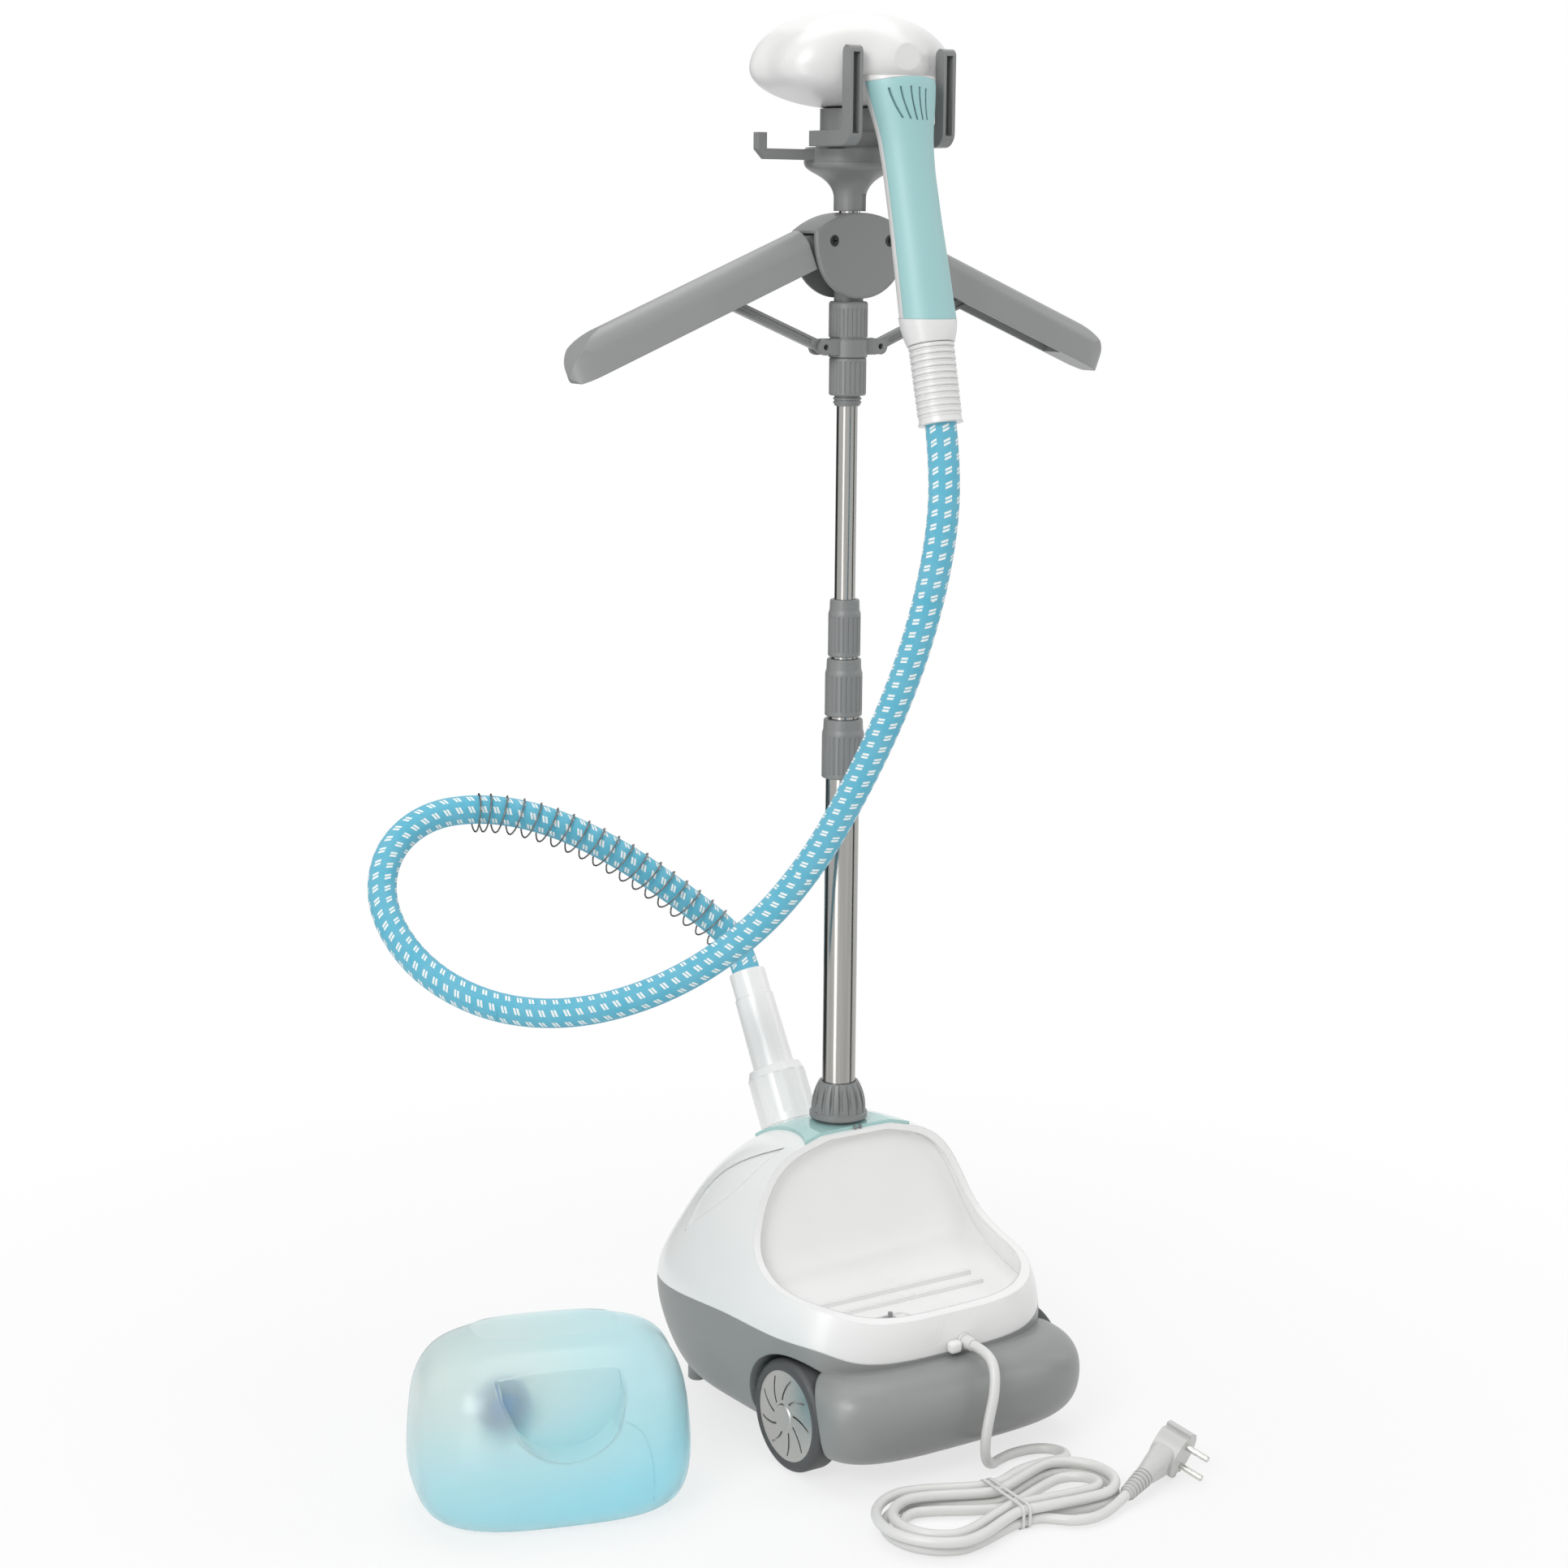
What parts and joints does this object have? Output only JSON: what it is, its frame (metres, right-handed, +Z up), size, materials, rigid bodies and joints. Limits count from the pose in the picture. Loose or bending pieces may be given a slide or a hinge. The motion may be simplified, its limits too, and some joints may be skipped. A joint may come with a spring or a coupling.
{
  "type": "garment steamer",
  "caption": "Upright garment steamer: wheeled base, telescopic pole with folding hanger, steam handset on a braided hose and a lift-off water tank standing beside it.",
  "frame": {"origin": "on the floor, under the middle of the object's box without its hose and mains cord", "axes": "+Z up along the pole, +X along the hanger to the viewer's right, -Y from the pole towards the tank seat and the mains cord"},
  "size_m": [0.6338, 0.5602, 1.0721],
  "materials": {
    "grey_plastic": "satin moulded",
    "white_gloss": "gloss moulded",
    "teal_gloss": "gloss moulded",
    "teal_soft": "soft matt",
    "steel": "brushed",
    "aluminium": "cast",
    "tyre": "matt",
    "chrome": "polished",
    "tank_clear": "frosted clear",
    "cap_blue": "moulded",
    "hose_braid": "woven braid",
    "cord_white": "soft moulded"
  },
  "bodies": {
    "base": {"lower_housing": "grey_plastic", "upper_housing": "white_gloss", "top_plate": "teal_gloss", "front_foot_left": "grey_plastic", "front_foot_right": "grey_plastic", "wheel_axle": "steel", "pole_socket": "grey_plastic", "lower_tube": "steel", "boiler": "aluminium", "boiler_lid": "aluminium", "steam_pipe": "steel", "steam_outlet": "grey_plastic", "valve_seat": "grey_plastic", "cord_gland": "cord_white", "hose_fitting": "white_gloss", "hose": "hose_braid", "hose_spring": "steel", "cord_lead": "cord_white", "cord_hank": "cord_white", "cord_tie": "cord_white", "cord_tail": "cord_white", "plug": "cord_white", "strain_relief": "cord_white", "plug_pin_a": "steel", "plug_pin_b": "steel"},
    "wheel_l": {"wheel_left": "tyre", "hubcap_left": "chrome"},
    "wheel_r": {"wheel_right": "tyre", "hubcap_right": "chrome"},
    "pole_nut": {"pole_nut": "grey_plastic"},
    "hose_nut": {"hose_nut": "white_gloss"},
    "lower_collar": {"lower_collar": "grey_plastic"},
    "second": {"second_tube": "steel"},
    "second_collar": {"second_collar": "grey_plastic"},
    "third": {"third_tube": "steel"},
    "third_collar": {"third_collar": "grey_plastic"},
    "mast_top": {"upper_tube": "steel", "hub_front": "grey_plastic", "hub_rear": "grey_plastic", "hub_screw_left": "steel", "hub_screw_right": "steel", "holder_cup": "grey_plastic", "holder_disc": "grey_plastic", "holder_yoke": "grey_plastic"},
    "arm_l": {"arm_left": "grey_plastic"},
    "arm_r": {"arm_right": "grey_plastic"},
    "strut_l": {"strut_left": "grey_plastic"},
    "strut_r": {"strut_right": "grey_plastic"},
    "slider": {"slider_sleeve": "grey_plastic"},
    "slider_nut": {"slider_nut": "grey_plastic"},
    "handset": {"handset_shell": "white_gloss", "grip_panel": "teal_soft", "steam_plate": "steel", "handset_collar": "white_gloss", "hose_boot": "white_gloss"},
    "tank": {"tank_body": "tank_clear"},
    "tank_cap": {"tank_cap": "cap_blue"},
    "button": {"power_button": "teal_gloss"}
  },
  "joints": [
    {"name": "wheel_left_spin", "type": "hinge", "parent": "base", "child": "wheel_l", "pos_m": [-0.0305, -0.0782, 0.043], "axis": [1, 0, 0], "continuous": true},
    {"name": "wheel_right_spin", "type": "hinge", "parent": "base", "child": "wheel_r", "pos_m": [0.1815, -0.0782, 0.043], "axis": [1, 0, 0], "continuous": true},
    {"name": "pole_nut_twist", "type": "hinge", "parent": "base", "child": "pole_nut", "pos_m": [0.0755, 0.0238, 0.245], "axis": [0, 0, 1], "range_deg": [0, 120]},
    {"name": "hose_nut_twist", "type": "hinge", "parent": "base", "child": "hose_nut", "pos_m": [0.0755, 0.0988, 0.22198], "axis": [0, 0.5, 0.866], "range_deg": [0, 120]},
    {"name": "lower_collar_twist", "type": "hinge", "parent": "base", "child": "lower_collar", "pos_m": [0.0755, 0.0238, 0.525], "axis": [0, 0, 1], "range_deg": [0, 90]},
    {"name": "second_tube_slide", "type": "slide", "parent": "base", "child": "second", "axis": [0, 0, 1], "range_m": [0, 0.2], "deforming": ["hose"]},
    {"name": "second_collar_twist", "type": "hinge", "parent": "second", "child": "second_collar", "pos_m": [0.0755, 0.0238, 0.57], "axis": [0, 0, 1], "range_deg": [0, 90]},
    {"name": "third_tube_slide", "type": "slide", "parent": "second", "child": "third", "axis": [0, 0, 1], "range_m": [0, 0.2], "deforming": ["hose"]},
    {"name": "third_collar_twist", "type": "hinge", "parent": "third", "child": "third_collar", "pos_m": [0.0755, 0.0238, 0.617], "axis": [0, 0, 1], "range_deg": [0, 90]},
    {"name": "upper_tube_slide", "type": "slide", "parent": "third", "child": "mast_top", "axis": [0, 0, 1], "range_m": [-0.13, 0.2], "deforming": ["hose"]},
    {"name": "arm_left_fold", "type": "hinge", "parent": "mast_top", "child": "arm_l", "pos_m": [0.0505, 0.0238, 0.907], "axis": [0, -1, 0], "range_deg": [0, 50]},
    {"name": "arm_right_fold", "type": "hinge", "parent": "mast_top", "child": "arm_r", "pos_m": [0.1005, 0.0238, 0.907], "axis": [0, 1, 0], "range_deg": [0, 50]},
    {"name": "strut_left_swing", "type": "hinge", "parent": "arm_l", "child": "strut_l", "pos_m": [-0.04593, 0.0238, 0.86804], "axis": [0, -1, 0], "range_deg": [-100, 0]},
    {"name": "strut_right_swing", "type": "hinge", "parent": "arm_r", "child": "strut_r", "pos_m": [0.19693, 0.0238, 0.86804], "axis": [0, 1, 0], "range_deg": [-100, 0]},
    {"name": "slider_slide", "type": "slide", "parent": "mast_top", "child": "slider", "axis": [0, 0, 1], "range_m": [-0.121, 0]},
    {"name": "slider_nut_twist", "type": "hinge", "parent": "slider", "child": "slider_nut", "pos_m": [0.0755, 0.0238, 0.807], "axis": [0, 0, 1], "range_deg": [0, 120]},
    {"name": "handset_lift", "type": "slide", "parent": "mast_top", "child": "handset", "axis": [0, 0, 1], "range_m": [0, 0.15], "deforming": ["hose"]},
    {"name": "tank_lift", "type": "slide", "parent": "base", "child": "tank", "axis": [0, 0, 1], "range_m": [0, 0.15]},
    {"name": "tank_cap_twist", "type": "hinge", "parent": "tank", "child": "tank_cap", "pos_m": [-0.22813, 0.02195, 0.062], "axis": [-0.309, -0.9511, 0], "range_deg": [0, 120]},
    {"name": "power_button_press", "type": "slide", "parent": "base", "child": "button", "axis": [0, -1, 0], "range_m": [0, 0.003], "stiffness_N_per_m": 300}
  ],
  "couplings": [
    {"joint": "arm_right_fold", "follows": "arm_left_fold", "ratio": 1},
    {"joint": "strut_left_swing", "follows": "arm_left_fold", "ratio": -2},
    {"joint": "strut_right_swing", "follows": "arm_left_fold", "ratio": -2},
    {"joint": "slider_slide", "follows": "arm_left_fold", "m_per_rad": -0.1374}
  ]
}
